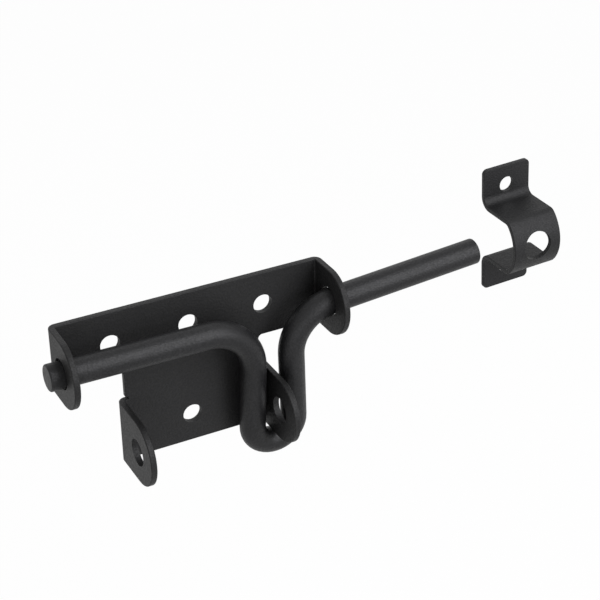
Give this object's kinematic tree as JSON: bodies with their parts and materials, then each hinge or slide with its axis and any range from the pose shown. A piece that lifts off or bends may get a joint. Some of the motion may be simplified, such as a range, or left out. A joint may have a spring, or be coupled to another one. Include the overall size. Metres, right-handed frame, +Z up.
{
  "type": "lock bolt",
  "caption": "Folded backplate with padlock ears, a bent round bar with a U handle that turns and slides in it, and a hat-shaped keeper for the bar's free end.",
  "frame": {"origin": "middle screw hole of the upper row, on the backplate's back face", "axes": "+X along the bar towards its free end and the keeper, +Y into the door or wall, +Z up"},
  "size_m": [0.2628, 0.0389, 0.1186],
  "materials": {
    "plate_coat": "black powder coat, fine texture, low sheen",
    "bar_coat": "black powder coat, fine texture, low sheen",
    "keeper_coat": "black powder coat, fine texture, low sheen"
  },
  "bodies": {
    "frame": {"backplate": "plate_coat", "keeper": "keeper_coat"},
    "bar": {"bolt": "bar_coat"}
  },
  "joints": [
    {"name": "bar_turn", "type": "hinge", "parent": "frame", "child": "bar", "pos_m": [0, -0.0158, 0], "axis": [-1, 0, 0], "range_deg": [-0.8, 185]}
  ]
}
